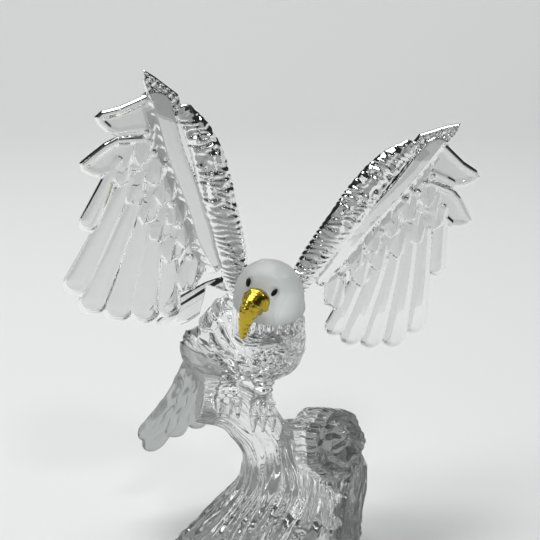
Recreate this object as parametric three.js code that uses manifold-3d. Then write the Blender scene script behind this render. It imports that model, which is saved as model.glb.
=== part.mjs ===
// A crystal eagle on a tree stump: clear wings, body and stump, a frosted head and tail, a gilt beak.
// Millimetres, +Z up. The origin is the middle of the stump's flat underside. The eagle looks towards -Y.
import * as THREE from "three";
import { mergeVertices } from "three/addons/utils/BufferGeometryUtils.js";
import Module from "manifold-3d";

const wasm = await Module();
wasm.setup();

// Driving dimensions.
const GLUE_GAP = 0.3;
const FOOT_DEPTH = 25;
const STUMP_FLUTES = 17;
const STUMP_RINGS = [
  { up: 0, left: -29.3, right: 28.9, depth: 1 },
  { up: 5, left: -25.4, right: 29.2, depth: 0.92 },
  { up: 10, left: -21.2, right: 29.6, depth: 0.84 },
  { up: 15, left: -16.6, right: 30, depth: 0.74 },
  { up: 19.5, left: -12, right: 30.5, depth: 0.64 },
  { up: 24, left: -8.2, right: 31, depth: 0.54 },
  { up: 30, left: -6.6, right: 30.8, depth: 0.43 },
  { up: 34, left: -5.6, right: 28.6, depth: 0.37 },
  { up: 38, left: -3.6, right: 24, depth: 0.3 },
  { up: 41.5, left: 1, right: 16, depth: 0.22 },
  { up: 43, left: 5, right: 12, depth: 0.1 },
];
const STUB = { middle: [22.6, -6, 38.4], out: [0.64, -0.74, 0.2], radius: 10.3 };
const PERCH = {
  path: [[3.5, 3, 26], [0.2, 1.5, 36.5], [-4.6, 0.3, 44.8], [-11, -1, 49.6], [-20, -2.5, 51.8]],
  radii: [8.2, 7.8, 8, 7.2, 6.6],
  flutes: 9,
};
const ANKLES = [[-0.6, -2.8, 54], [-11, -2.2, 58.2]];
const HIPS = [[-0.4, -1.4, 66], [-7.6, 3.4, 65]];
const THIGHS = [7, 5.6];
const BODY = { breast: [1.2, -2.2, 70], rear: [-18, 22.5, 60], breastRadius: 11.4 };
const COLLAR = [[1.2, -1.8, 69], [1, -3, 76], [1, -4, 84]];
const MANTLE = {
  path: [[-1, 9, 81.5], [-3.4, 9.8, 77], [-8.4, 13, 72], [-13.6, 17.4, 66.5]],
  across: [9.6, 10.4, 10.4, 9],
  deep: [6, 7.6, 8.6, 8.4],
};
const NECK = { base: [0.6, -3.2, 75], crown: [2.2, -7, 97], radius: 11.5 };
const NECK_JOINT = { point: [1, -13, 79.8], normal: [0.1, -0.35, 0.93] };
const HEAD = { middle: [1.1, -6.4, 87.2], radius: 9.7, turn: -22, lift: 9, tilt: 15, faceOut: 8.2 };
const BEAK = { halfWidth: 4.3, halfHeight: 4, reach: 6.6, hook: 12.6 };
const EYE = { side: 27, up: 13, long: 1.45, wide: 0.75 };
const SHOULDERS = [1, 9.8, 88.7];
const WING = { turn: 17.8, bank: 11.6, size: 1.015, jointUp: -9 };
const TAIL_SEAT = { point: [-16, 4.3, 62.8], normal: [-0.03, -0.1, -1] };
const TAIL_FRONT = { point: [-9, 1, 60], normal: [0.85, -0.53, 0] };
const TAIL = {
  root: [-18, 26, 53],
  tips: [[-40.4, 20.4, 29.6], [-38.8, 22, 25.2], [-30.8, 27, 28], [-23.3, 31.5, 29.2], [-15.6, 35.5, 30.6],
    [-8.4, 39, 32.4]],
  middleTip: 3,
  bow: 3,
};

const radians = THREE.MathUtils.degToRad;
const lerp = THREE.MathUtils.lerp;
const vector = (list) => new THREE.Vector3(...list);

// A closed geometry as a solid that can be joined and cut.
function toSolid(geometry) {
  const bare = new THREE.BufferGeometry().setAttribute("position", geometry.getAttribute("position"));
  bare.setIndex(geometry.getIndex());
  const merged = mergeVertices(bare, 1e-4);
  const mesh = { numProp: 3, vertProperties: merged.attributes.position.array };
  mesh.triVerts = new Uint32Array(merged.index.array);
  return new wasm.Manifold(new wasm.Mesh(mesh));
}

// A solid as a geometry to draw.
function toGeometry(solid) {
  const mesh = solid.getMesh();
  const geometry = new THREE.BufferGeometry();
  geometry.setAttribute("position", new THREE.BufferAttribute(mesh.vertProperties, 3));
  geometry.setIndex(new THREE.BufferAttribute(mesh.triVerts, 1));
  geometry.computeVertexNormals();
  return geometry;
}

// Joins solids that meet. Crossing facets can leave a chip or a pinhole far under a cubic millimetre, so only
// the largest surface is kept.
function join(solids) {
  const shells = solids.reduce((whole, solid) => whole.add(solid)).decompose();
  return shells.reduce((most, shell) => (shell.volume() > most.volume() ? shell : most));
}

// Takes away all that lies past the plane through point, on the side that normal points to.
function cutPast(solid, point, normal, reach = 200) {
  const block = new THREE.BoxGeometry(reach, reach, reach).translate(0, 0, reach / 2);
  block.applyQuaternion(new THREE.Quaternion().setFromUnitVectors(new THREE.Vector3(0, 0, 1), normal));
  block.translate(point.x, point.y, point.z);
  return solid.subtract(toSolid(block));
}

// A closed surface over rings of points, each ring counter-clockwise about the way that the rings follow.
function skin(rings) {
  const sides = rings[0].length;
  const middle = (ring) => ring.reduce((sum, p) => sum.add(p), new THREE.Vector3()).divideScalar(sides);
  const points = [...rings.flat(), middle(rings[0]), middle(rings.at(-1))];
  const faces = [];
  const [startMiddle, endMiddle] = [points.length - 2, points.length - 1];
  const last = (rings.length - 1) * sides;
  for (let k = 0; k < sides; k += 1) {
    const next = (k + 1) % sides;
    for (let i = 0; i < last; i += sides) {
      faces.push(i + k, i + next, i + sides + next, i + k, i + sides + next, i + sides + k);
    }
    faces.push(startMiddle, next, k, endMiddle, last + k, last + next);
  }
  return new THREE.BufferGeometry().setFromPoints(points).setIndex(faces);
}

// A tube through stations of { at, wide, thick }. wide runs across, and thick along the face direction.
// ripple(angle, index) scales the section, and twist turns every second ring by half a side.
function sweep(stations, face, sides, { ripple = () => 1, twist = false } = {}) {
  const rings = stations.map(({ at, wide, thick }, i) => {
    const before = stations[Math.max(i - 1, 0)].at;
    const after = stations[Math.min(i + 1, stations.length - 1)].at;
    const along = after.clone().sub(before).normalize();
    const across = face.clone().cross(along).normalize();
    const outward = along.clone().cross(across);
    return Array.from({ length: sides }, (_, k) => {
      const angle = (2 * Math.PI * (k + (twist && i % 2 ? 0.5 : 0))) / sides;
      const scale = ripple(angle, i);
      return at.clone()
        .addScaledVector(across, wide * scale * Math.cos(angle))
        .addScaledVector(outward, thick * scale * Math.sin(angle));
    });
  });
  return skin(rings);
}

// Stations at even steps along a smooth curve, with the half-sizes read along it.
function stationsAlong(path, wides, thicks, count) {
  const curve = new THREE.CatmullRomCurve3(path, false, "centripetal");
  const read = (list, t) => {
    const place = t * (list.length - 1);
    const low = Math.min(Math.floor(place), list.length - 2);
    return lerp(list[low], list[low + 1], place - low);
  };
  return Array.from({ length: count }, (_, i) => {
    const t = i / (count - 1);
    return { at: curve.getPoint(t), wide: read(wides, t), thick: read(thicks, t) };
  });
}

// The stump: a fluted trunk that flares to its foot, a sawn stub, the perch and the feet, all one casting.
function stumpSolid() {
  const sides = STUMP_FLUTES * 3;
  const rings = STUMP_RINGS.map(({ up, left, right, depth }) => {
    const middle = new THREE.Vector3((left + right) / 2, 2 * (1 - depth), up);
    return Array.from({ length: sides }, (_, k) => {
      const angle = (2 * Math.PI * k) / sides;
      const across = ((right - left) / 2) * Math.cos(angle);
      const out = new THREE.Vector3(across, FOOT_DEPTH * depth * Math.sin(angle), 0);
      return middle.clone().addScaledVector(out, 1 + 0.04 * Math.cos(STUMP_FLUTES * angle));
    });
  });
  return join([toSolid(skin(rings)), stubSolid(), perchSolid(), ...ANKLES.map(footSolid)]);
}

// The sawn stub, with a raised rim and a shallow dish for its cut face.
function stubSolid() {
  const out = vector(STUB.out).normalize();
  const middle = vector(STUB.middle);
  const shape = [[-17.5, 0.6], [-14, 0.92], [-8, 1.06], [-0.8, 1.03], [0.5, 0.93], [-0.4, 0.82]];
  const stations = shape.map(([along, share]) => {
    const at = middle.clone().addScaledVector(out, along);
    return { at, wide: STUB.radius * share, thick: STUB.radius * share };
  });
  const ripple = (angle, i) => 1 + (i < 4 ? 0.05 * Math.cos(7 * angle + 0.6) : 0);
  return toSolid(sweep(stations, new THREE.Vector3(0, 0, 1), 21, { ripple }));
}

// The perch: the branch that leans out to the left from the top of the stump, sawn flat at its end.
function perchSolid() {
  const stations = stationsAlong(PERCH.path.map(vector), PERCH.radii, PERCH.radii, 10);
  const ripple = (angle) => 1 + 0.04 * Math.cos(PERCH.flutes * angle);
  return toSolid(sweep(stations, new THREE.Vector3(0, 1, 0), PERCH.flutes * 2, { ripple }));
}

// A foot: a pad under the ankle and three toes that come forward over the perch and end in a claw.
function footSolid(ankle) {
  const foot = vector(ankle);
  const pad = new THREE.SphereGeometry(1, 8, 5).scale(3, 3, 2.4).translate(foot.x, foot.y, foot.z - 1.2);
  const toes = [-1, 0, 1].map((spread) => {
    const path = [
      [0, 0.6, -2.2], [spread * 1.8, -3.4, -1.8], [spread * 2.7, -6.2, -5], [spread * 2.9, -7.2, -9.6],
    ];
    const points = path.map((step) => foot.clone().add(vector(step)));
    const radii = [1.9, 1.8, 1.6, 0.5];
    return toSolid(sweep(stationsAlong(points, radii, radii, 5), new THREE.Vector3(1, 0, 0), 6));
  });
  const top = foot.clone().setZ(foot.z - GLUE_GAP / 2);
  return cutPast(join([toSolid(pad), ...toes]), top, new THREE.Vector3(0, 0, 1));
}

// The eagle's breast and back: a faceted egg and, over it, the thick mantle that the wings sit on.
function backSolids() {
  const breast = vector(BODY.breast);
  const rear = vector(BODY.rear);
  const shape = [[-0.33, 0.36], [-0.23, 0.72], [-0.05, 0.96], [0.15, 1.02], [0.36, 0.98], [0.57, 0.9],
    [0.78, 0.82], [0.98, 0.73], [1.2, 0.64]];
  const stations = shape.map(([t, share]) => {
    const radius = share * BODY.breastRadius;
    return { at: breast.clone().lerp(rear, t), wide: radius, thick: radius };
  });
  const egg = toSolid(sweep(stations, new THREE.Vector3(0, 0, 1), 10, { twist: true }));
  const side = new THREE.Vector3(1, 0, 0).transformDirection(wingFrame());
  const mantleStations = stationsAlong(MANTLE.path.map(vector), MANTLE.deep, MANTLE.across, 5);
  return [egg, toSolid(sweep(mantleStations, side, 10, { twist: true }))];
}

// A ringed leg from its thigh down to its ankle, grown by extra on every side.
function legSolid(i, extra) {
  const hip = vector(HIPS[i]);
  const ankle = vector(ANKLES[i]);
  const below = ankle.clone().lerp(hip, -0.1);
  const radii = [THIGHS[i], 0.74 * THIGHS[i], 3.2, 2.5].map((radius) => radius + extra);
  const ripple = (_, ring) => (ring % 2 ? 1.06 : 0.94);
  const stations = stationsAlong([hip, hip.clone().lerp(below, 0.5), below], radii, radii, 9);
  const leg = toSolid(sweep(stations, new THREE.Vector3(0, 1, 0), 10, { ripple }));
  return cutPast(leg, ankle.setZ(ankle.z + GLUE_GAP / 2), new THREE.Vector3(0, 0, -1));
}

// The space that the tail takes from the end of the back: below its seat and behind the legs, grown by extra.
function tailSpace(extra) {
  const reach = 60;
  const space = toSolid(new THREE.BoxGeometry(reach, reach, reach).translate(...TAIL.root));
  const down = vector(TAIL_SEAT.normal).normalize();
  const forward = vector(TAIL_FRONT.normal).normalize();
  const below = cutPast(space, vector(TAIL_SEAT.point).addScaledVector(down, -extra), down.clone().negate());
  return cutPast(below, vector(TAIL_FRONT.point).addScaledVector(forward, extra), forward);
}

// The body: the breast and back, less the tail's space, with a collar under the neck and two ringed legs.
function bodySolid() {
  const up = new THREE.Vector3(0, 0, 1);
  const collarStations = stationsAlong(COLLAR.map(vector), [10.6, 11.4, 10.6], [10.6, 11.4, 10.6], 4);
  const collar = toSolid(sweep(collarStations, new THREE.Vector3(0, 1, 0), 10, { twist: true }));
  const back = join(backSolids()).subtract(tailSpace(GLUE_GAP / 2));
  const whole = join([back, collar, legSolid(0, 0), legSolid(1, 0)]);
  const neck = headFrame();
  const necked = cutPast(whole, neck.joint.clone().addScaledVector(neck.normal, -GLUE_GAP / 2), neck.normal);
  const wings = wingFrame();
  const seat = new THREE.Vector3(0, 0, WING.jointUp - GLUE_GAP / 2).applyMatrix4(wings);
  return cutPast(necked, seat, up.transformDirection(wings));
}

// Where the neck meets the body, and the head's own frame, in which -Y is the way that it looks.
function headFrame() {
  const face = new THREE.Matrix4().makeRotationZ(radians(HEAD.turn));
  face.multiply(new THREE.Matrix4().makeRotationY(radians(HEAD.tilt)));
  face.multiply(new THREE.Matrix4().makeRotationX(-radians(HEAD.lift)));
  face.setPosition(vector(HEAD.middle));
  return { joint: vector(NECK_JOINT.point), normal: vector(NECK_JOINT.normal).normalize(), face };
}

// The head and neck, flat at the neck joint and at the face, with a socket for each eye.
function headSolid() {
  const { joint, normal, face } = headFrame();
  const skull = toSolid(new THREE.IcosahedronGeometry(HEAD.radius, 2).translate(...HEAD.middle));
  const [base, crown] = [vector(NECK.base), vector(NECK.crown)];
  const shape = [[-0.1, 1], [0.02, 1], [0.16, 1], [0.3, 0.97], [0.5, 0.88], [0.7, 0.72], [0.8, 0.5]];
  const stations = shape.map(([t, share]) => {
    const radius = share * NECK.radius;
    return { at: base.clone().lerp(crown, t), wide: radius, thick: radius };
  });
  const neck = toSolid(sweep(stations, new THREE.Vector3(0, 1, 0), 16));
  const forward = new THREE.Vector3(0, -1, 0).transformDirection(face);
  const facePoint = vector(HEAD.middle).addScaledVector(forward, HEAD.faceOut);
  const seat = joint.addScaledVector(normal, GLUE_GAP / 2);
  const whole = cutPast(skull.add(neck), seat, normal.clone().negate());
  const socketSolid = (place) => toSolid(eyeGeometry(0.25).applyMatrix4(place).applyMatrix4(face));
  const sockets = eyePlaces().map(socketSolid);
  return sockets.reduce((left, socket) => left.subtract(socket), cutPast(whole, facePoint, forward));
}

// The places of the eyes in the head's own frame, where -Y is forward.
function eyePlaces() {
  return [-1, 1].map((side) => {
    const turn = new THREE.Matrix4().makeRotationZ(radians(side * EYE.side));
    const lift = new THREE.Matrix4().makeRotationX(-radians(EYE.up));
    const out = new THREE.Matrix4().makeTranslation(0, -HEAD.radius + 0.1, 0);
    const slant = new THREE.Matrix4().makeRotationY(radians(side * 24));
    return turn.multiply(lift).multiply(out).multiply(slant);
  });
}

// A small dark lens, longest across Z, grown by extra on every side.
function eyeGeometry(extra) {
  return new THREE.SphereGeometry(1, 8, 5).scale(EYE.wide + extra, 0.7 + extra, EYE.long + extra);
}

// The beak in the head's own frame: flat behind, a broad cere, and a hooked tip.
function beakSolid() {
  const back = -HEAD.faceOut - GLUE_GAP;
  const path = [
    new THREE.Vector3(0, back + 1.5, -2.2),
    new THREE.Vector3(0, back - 1.2, -2.3),
    new THREE.Vector3(0, back - 0.62 * BEAK.reach, -3.6),
    new THREE.Vector3(0, back - 0.72 * BEAK.reach, -7.6),
    new THREE.Vector3(0, back - 0.42 * BEAK.reach, -2.3 - BEAK.hook * 0.86),
  ];
  const wides = [BEAK.halfWidth, BEAK.halfWidth, 3.3, 2.2, 1.1];
  const thicks = [BEAK.halfHeight, BEAK.halfHeight, 3.2, 2.2, 0.9];
  const brow = new THREE.Vector3(0, -0.5, 1).normalize();
  const whole = toSolid(sweep(stationsAlong(path, wides, thicks, 9), brow, 10));
  return cutPast(whole, new THREE.Vector3(0, back, 0), new THREE.Vector3(0, 1, 0));
}

// The wings' own frame: X out to the eagle's left, Y back, Z up, from the middle of the shoulders.
function wingFrame() {
  const turn = new THREE.Matrix4().makeRotationZ(radians(WING.turn));
  const bank = new THREE.Matrix4().makeRotationY(radians(WING.bank));
  return turn.multiply(bank).setPosition(vector(SHOULDERS));
}

// One feather, flat in XY from root to tip: half its width, half its thickness, and front lifts it to +Z.
function feather({ root, tip, half, thick, front = 0 }) {
  const length = Math.hypot(tip[0] - root[0], tip[1] - root[1]);
  const points = ROUND_TIP.map(([t, share]) => new THREE.Vector2(share * half, t * length));
  const blade = new THREE.LatheGeometry(points, 6).scale(1.15, 1, thick / half);
  blade.rotateZ(Math.atan2(tip[1] - root[1], tip[0] - root[0]) - Math.PI / 2);
  return toSolid(blade.translate(root[0], root[1], front));
}

const ROUND_TIP = [[0, 0], [0.02, 0.7], [0.45, 0.94], [0.86, 1], [0.965, 0.78], [1, 0]];

// The three broad feathers at the end of the wing, each an outline in the flat wing.
const FINGERS = [
  [[36, 44], [38.5, 48.8], [42.5, 50.8], [46.5, 52.8], [50.2, 54.2], [49.6, 51], [47.2, 47], [43, 42],
    [37, 41]],
  [[42, 46], [47, 47.6], [50.5, 45.4], [55, 42.6], [59.6, 40.7], [61.3, 38.7], [59.8, 36.6], [56.8, 34.7],
    [53.5, 34.1], [50, 35.3], [43, 37]],
  [[44, 36], [53.6, 34], [57, 31.5], [60.5, 27.6], [62.9, 24.7], [61.8, 22.6], [59.2, 21.6], [56.3, 21.2],
    [52.5, 23.4], [44, 25]],
];

// A flat feather cut to an outline, with bevelled edges.
function plate(outline, thick, front) {
  const shape = new THREE.Shape(outline.map(([out, up]) => new THREE.Vector2(out, up)));
  const bevel = 0.8;
  const edge = { bevelThickness: bevel, bevelSize: bevel, bevelOffset: -bevel, bevelSegments: 1 };
  const blank = new THREE.ExtrudeGeometry(shape, { depth: 2 * (thick - bevel), steps: 1, ...edge });
  return toSolid(blank.translate(0, 0, front - thick + bevel));
}

// One wing laid flat, before it is bent back: X out, Y up, +Z its front.
function flatWing() {
  const front = new THREE.Vector3(0, 0, 1);
  const flat = (points) => points.map(([out, up, lift = 0]) => new THREE.Vector3(out, up, lift));
  const armPath = flat([[4.6, -14], [7, -8, 0.3], [10.5, -1.5, 0.6], [13.2, 5, 0.9], [16.4, 12, 1.2],
    [19.8, 19, 1.6], [23, 26, 2], [26.7, 33, 2.2], [31, 39.2, 2.2], [35.4, 43.8, 1.8]]);
  const armHalf = [3.4, 3.5, 3.9, 4.6, 4.8, 5, 5.2, 4.9, 4.2, 2.8];
  const armThick = [2.9, 3, 3.2, 3.4, 3.5, 3.5, 3.4, 3.2, 2.8, 1.8];
  const ridges = (_, i) => (i % 2 ? 1.04 : 0.97);
  const arm = toSolid(sweep(stationsAlong(armPath, armHalf, armThick, 16), front, 8, { ripple: ridges }));
  const webPath = flat([[15, -2.5], [20, 1.5], [25.5, 9], [31, 18], [36, 28], [41.5, 38]]);
  const webStations = stationsAlong(webPath, [2, 4.6, 5.2, 5.2, 5, 4], [1.2, 1.8, 1.9, 1.9, 1.8, 1.5], 6);
  const web = toSolid(sweep(webStations, front, 6));

  const fingers = FINGERS.map((outline, i) => plate(outline, 1.7, i ? 0 : 1));
  const long = [
    { root: [52, 27], tip: [56.9, 4.4], half: 3.2 },
    { root: [47.5, 22], tip: [56.4, -16.4], half: 4.3 },
    { root: [43.8, 18], tip: [50.4, -22], half: 4.4 },
    { root: [40.6, 13], tip: [42, -23], half: 4.6 },
    { root: [36.6, 8], tip: [33.8, -22.2], half: 4.5 },
    { root: [31.4, 4], tip: [26.8, -19.2], half: 3.9 },
  ].map((blade, i) => feather({ ...blade, thick: 1.8, front: -0.3 * (i % 2) }));
  const coverts = [[51, 19.4], [46.2, 14.2], [41.3, 9], [36.6, 4], [31.9, -1.7], [25.3, -10]].map((tip) => (
    feather({ root: [tip[0] - 3.4, tip[1] + 13], tip, half: 3.9, thick: 1.9, front: 0.9 })));
  const upperCoverts = [[46.6, 26.5], [42, 21], [37.6, 15.4], [33, 9.5], [28.6, 3.6]].map((tip) => (
    feather({ root: [tip[0] - 2.6, tip[1] + 9], tip, half: 3.6, thick: 1.9, front: 1.5 })));
  return join([arm, web, ...fingers, ...long, ...coverts, ...upperCoverts]);
}

// How far back the wing's sheet lies at a place on it: further back low down and near the feathers' tips.
function sheetBack(out, up) {
  return -1.3 + 0.183 * out - 0.048 * up + 0.00147 * up * up - 0.00337 * out * up - 0.00128 * out * out;
}

// Bends a flat wing to its sheet, in the wings' frame.
function bendWing(solid) {
  const geometry = toGeometry(solid);
  const place = geometry.getAttribute("position");
  for (let i = 0; i < place.count; i += 1) {
    const [out, up, front] = [place.getX(i), place.getY(i), place.getZ(i)];
    place.setXYZ(i, WING.size * out, WING.size * (sheetBack(out, up) - front), WING.size * up);
  }
  return toSolid(geometry);
}

// A wing in the wings' frame, with the inner feather that folds back along the body, flat where it is glued.
function wingSolid() {
  const innerPath = [[9, 4, -4], [14, 10, -11], [19.5, 17, -19], [24, 23, -26]].map(vector);
  const innerStations = stationsAlong(innerPath, [2, 3.8, 4.5, 2], [1.3, 1.4, 1.4, 0.7], 6);
  const innerFeather = toSolid(sweep(innerStations, new THREE.Vector3(0.6, -0.6, 0), 6));
  const seatUp = WING.jointUp + GLUE_GAP / 2;
  const below = new THREE.BoxGeometry(30, 60, 40).translate(0, 0, seatUp - 20);
  return join([bendWing(flatWing()), innerFeather]).subtract(toSolid(below));
}

// The tail: the end of the back below its seat, and a fan of feathers from one thick root. The outer two bow.
function tailSolid() {
  const root = vector(TAIL.root);
  const along = vector(TAIL.tips[TAIL.middleTip]).sub(root).normalize();
  const across = vector(TAIL.tips.at(-1)).sub(vector(TAIL.tips[1])).normalize();
  const face = across.clone().cross(along).normalize();
  if (face.y > 0) {
    face.negate();
  }
  const fan = TAIL.tips.map((end, i) => {
    const tip = vector(end);
    const side = 2.6 * Math.max(i - TAIL.middleTip, -2);
    const start = root.clone().addScaledVector(across, side).addScaledVector(along, -3);
    const bow = i < 2 ? TAIL.bow : 0;
    const points = [0, 0.35, 0.7, 0.92, 1].map((t) => (
      start.clone().lerp(tip, t).addScaledVector(across, bow * Math.sin(Math.PI * t))));
    const stations = stationsAlong(points, [3.6, 4.2, 4.8, 4.6, 2.2], [2.8, 2.2, 1.7, 1.4, 0.8], 5);
    return toSolid(sweep(stations, face, 8));
  });
  const rumpPath = [-4, 0, 9].map((step) => root.clone().addScaledVector(along, step));
  const rump = toSolid(sweep(stationsAlong(rumpPath, [8.4, 8.6, 6.5], [6, 5.4, 2.2], 4), face, 12));
  const back = join(backSolids()).intersect(tailSpace(-GLUE_GAP / 2)).subtract(legSolid(1, GLUE_GAP));
  return join([back, rump, ...fan]);
}

const clear = () => new THREE.MeshStandardMaterial({ color: 0xf2f5f5, roughness: 0.03, metalness: 0 });
const frosted = () => new THREE.MeshStandardMaterial({ color: 0xd9dbda, roughness: 0.55, metalness: 0 });
const gilt = () => new THREE.MeshStandardMaterial({ color: 0xc9a227, roughness: 0.2, metalness: 1 });
const jet = () => new THREE.MeshStandardMaterial({ color: 0x070708, roughness: 0.08, metalness: 0 });

function piece(name, solid, material) {
  const mesh = new THREE.Mesh(toGeometry(solid), material);
  mesh.name = name;
  return mesh;
}

const eagle = new THREE.Group();
eagle.add(piece("body", bodySolid(), clear()));
eagle.add(piece("head", headSolid(), frosted()));
eagle.add(piece("tail", tailSolid(), frosted()));

const face = new THREE.Group();
face.applyMatrix4(headFrame().face);
face.add(piece("beak", beakSolid(), gilt()));
["eye_right", "eye_left"].forEach((name, i) => {
  const eye = piece(name, toSolid(eyeGeometry(0)), jet());
  eye.applyMatrix4(eyePlaces()[i]);
  face.add(eye);
});
eagle.add(face);

const wings = new THREE.Group();
wings.applyMatrix4(wingFrame());
const wing = wingSolid();
const wingLeft = piece("wing_left", wing, clear());
const wingRight = piece("wing_right", wing, clear());
wingRight.scale.x = -1;
wings.add(wingLeft, wingRight);
eagle.add(wings);

const figurine = new THREE.Group();
figurine.add(piece("stump", stumpSolid(), clear()), eagle);

export default figurine;
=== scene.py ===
import math

import bpy
import numpy as np
from mathutils import Matrix, Vector


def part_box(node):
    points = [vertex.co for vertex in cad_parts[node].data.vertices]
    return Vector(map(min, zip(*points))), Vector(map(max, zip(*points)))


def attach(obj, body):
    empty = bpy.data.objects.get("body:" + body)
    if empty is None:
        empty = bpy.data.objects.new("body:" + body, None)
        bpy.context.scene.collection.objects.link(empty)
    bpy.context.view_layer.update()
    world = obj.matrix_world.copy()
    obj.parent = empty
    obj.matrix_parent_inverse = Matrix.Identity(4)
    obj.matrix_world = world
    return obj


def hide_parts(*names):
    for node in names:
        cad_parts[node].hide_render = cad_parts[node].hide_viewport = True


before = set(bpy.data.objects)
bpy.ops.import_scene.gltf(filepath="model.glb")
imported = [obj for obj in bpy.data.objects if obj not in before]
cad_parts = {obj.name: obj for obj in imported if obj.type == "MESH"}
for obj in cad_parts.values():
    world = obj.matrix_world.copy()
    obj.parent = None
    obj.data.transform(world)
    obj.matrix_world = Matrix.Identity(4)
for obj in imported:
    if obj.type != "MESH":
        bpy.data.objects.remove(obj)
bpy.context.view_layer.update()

# A crystal eagle on a tree stump. Shapes are worked out in millimetres, and the meshes are in metres.
MM = 0.001
GLUE_GAP = 0.3
FAR = 50

# The photograph's view, from the front and a little above.
VIEW_TARGET = (1.5, 0, 92)
VIEW_DISTANCE = 450
VIEW_DOWN = 15
LENS = 100
SENSOR = 36

# The wings: X out, Y up, Z towards the front, flat, before they are bent and placed.
SHOULDERS = (1, 9.8, 88.7)
WING_TURN = 17.8
WING_BANK = 11.6
WING_SIZE = 1.015
WING_JOINT_UP = -9
WING_JOINT_OUT = 15
WING_SPACE = ((0, -26, -20), (68, 57, 8))
ARM_PATH = [(4.6, -14), (7, -8), (10.5, -1.5), (13.2, 5), (16.4, 12), (19.8, 19), (23, 26), (26.7, 33),
            (31, 39.2), (35.4, 43.8)]
ARM_LENGTH = 75
ARM_LIFT = [0, 0.3, 0.6, 0.9, 1.2, 1.6, 2, 2.2, 2.2, 1.8]
ARM_HALF = [3.4, 3.5, 3.9, 4.6, 4.8, 5, 5.2, 4.9, 4.2, 2.8]
ARM_THICK = [2.9, 3, 3.2, 3.4, 3.5, 3.5, 3.4, 3.2, 2.8, 1.8]
RIDGE_STEP = 2.1
RIDGE_HEIGHT = 1.35
RIDGE_PLACES = [0, 0.3, 0.4, 0.5, 0.62, 0.75, 1]
RIDGE_STRENGTHS = [1, 1, 0.6, 0.5, 0.75, 0.4, 0.5]
LUMP_PLACES = [0.45, 0.6, 0.9, 1]
LUMP_STRENGTHS = [0, 0.9, 0.8, 0.2]
BEVEL_PATH = [(18, -0.1), (22.9, 5.7), (27.3, 14.1), (32.8, 22.8), (37.4, 30), (41.8, 38.6), (44.5, 44)]
BEVEL_HALF = 5.2
BEVEL_HEIGHT = 2.3
BUMPS = [(24.8, 1.3), (27.2, 5.3), (30.5, 10.7), (33.8, 16.7), (36.1, 20), (38.9, 28.1), (42.1, 30.9),
         (44, 34), (45.6, 36.4)]
BUMP_RADIUS = 1.15
BUMP_LIFT = 1.3
FINGERS = [
    [(36, 44), (38.5, 48.8), (42.5, 50.8), (46.5, 52.8), (50.2, 54.2), (49.6, 51), (47.2, 47), (43, 42),
     (37, 41)],
    [(42, 46), (47, 47.6), (50.5, 45.4), (55, 42.6), (59.6, 40.7), (61.3, 38.7), (59.8, 36.6), (56.8, 34.7),
     (53.5, 34.1), (50, 35.3), (43, 37)],
    [(44, 36), (53.6, 34), (57, 31.5), (60.5, 27.6), (62.9, 24.7), (61.8, 22.6), (59.2, 21.6), (56.3, 21.2),
     (52.5, 23.4), (44, 25)],
]
FINGER_THICK = 1.7
FINGER_RIM = 1.5
LONG_FEATHERS = [
    ((52, 27), (56.9, 4.4), 3.2), ((47.5, 22), (56.4, -16.4), 4.3), ((43.8, 18), (50.4, -22), 4.4),
    ((40.6, 13), (42, -23), 4.6), ((36.6, 8), (33.8, -22.2), 4.5), ((31.4, 4), (26.8, -19.2), 3.9),
]
LONG_FEATHER_THICK = 2
LONG_FEATHER_EDGE = 2.7
COVERT_TIPS = [(51, 19.4), (46.2, 14.2), (41.3, 9), (36.6, 4), (31.9, -1.7), (25.3, -10)]
UPPER_COVERT_TIPS = [(46.6, 26.5), (42, 21), (37.6, 15.4), (33, 9.5), (28.6, 3.6)]
COVERT_LIFT = 2.1
COVERT_EDGE = 1.1
COVERT_NOTCH = 0.7
COVERT_BACK = -0.8
INNER_FEATHER = [(9, 4, -4), (14, 10, -11), (19.5, 17, -19), (24, 23, -26)]
INNER_FEATHER_SPACE = ((4, 0, -29), (28, 27, 0))
INNER_FEATHER_FLAT = (0.6, -0.6, 0)

# The stump, the sawn stub, the perch and the feet.
STUMP_SPACE = ((-33, -28, -0.9), (35, 30, 61))
FOOT_DEPTH = 25
STUMP_UP = [0, 5, 10, 15, 19.5, 24, 30, 34, 38, 41.5, 43]
STUMP_LEFT = [-29.3, -25.4, -21.2, -16.6, -12, -8.2, -6.6, -5.6, -3.6, 1, 5]
STUMP_RIGHT = [28.9, 29.2, 29.6, 30, 30.5, 31, 30.8, 28.6, 24, 16, 12]
STUMP_DEPTH = [1, 0.92, 0.84, 0.74, 0.64, 0.54, 0.43, 0.37, 0.3, 0.22, 0.1]
STUMP_FLUTES = 22
STUMP_LOBES = 17
STUB_SPACE = ((2, -22, 22), (36, 22, 54))
STUB_MIDDLE = (22.6, -6, 38.4)
STUB_OUT = (0.64, -0.74, 0.2)
STUB_RADIUS = 10.3
STUB_LENGTH = 17.5
STUB_PLACES = [-17.5, -14, -8, -0.8, 0.8]
STUB_SHARES = [0.55, 0.92, 1.06, 1.03, 0.97]
RING_DEPTH = 2.2
RING_STEP = 4
PERCH_SPACE = ((-28, -12, 20), (14, 14, 62))
PERCH_PATH = [(3.5, 3, 26), (0.2, 1.5, 36.5), (-4.6, 0.3, 44.8), (-11, -1, 49.6), (-20, -2.5, 51.8)]
PERCH_RADII = [8.2, 7.8, 8, 7.2, 6.6]
PERCH_FLUTES = 11
FEET_SPACE = ((-18, -14, 42), (6, 3, 60))
ANKLES = [(-0.6, -2.8, 54), (-11, -2.2, 58.2)]
TOE_PATH = [(0, 0.6, -2.2), (1.8, -3.4, -1.8), (2.7, -6.2, -5), (2.9, -7.2, -9.6)]
TOE_RADII = [1.9, 1.8, 1.6, 0.45]

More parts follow.
